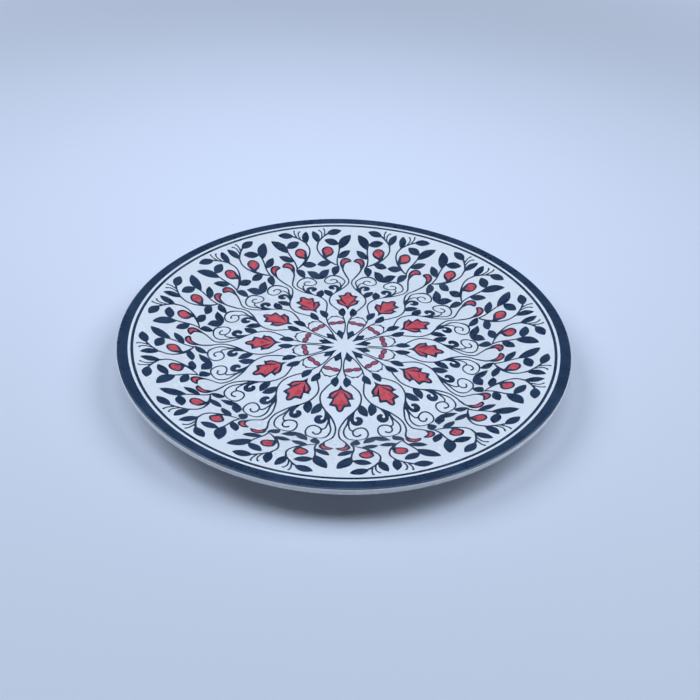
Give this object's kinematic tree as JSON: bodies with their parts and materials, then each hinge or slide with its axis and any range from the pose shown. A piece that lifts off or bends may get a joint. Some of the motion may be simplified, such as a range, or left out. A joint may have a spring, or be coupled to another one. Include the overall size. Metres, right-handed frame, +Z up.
{
  "type": "ceramic plate",
  "caption": "Round dinner plate in glazed ceramic with a domed well, a flared painted rim and a dry foot ring to stand on.",
  "frame": {"origin": "middle of the foot ring, on the surface the plate stands on", "axes": "+Z up, along the plate's turning axis; +Y points along one of the twelve painted petals"},
  "size_m": [0.26, 0.26, 0.0216],
  "materials": {
    "fired_clay": "unglazed, matt",
    "white_glaze": "gloss",
    "navy_underglaze": "gloss",
    "red_underglaze": "gloss"
  },
  "bodies": {
    "root": {"clay_body": "fired_clay", "face_glaze": "white_glaze", "back_glaze": "white_glaze", "recess_glaze": "white_glaze", "rim_line": "navy_underglaze", "rim_band": "navy_underglaze"}
  },
  "joints": []
}
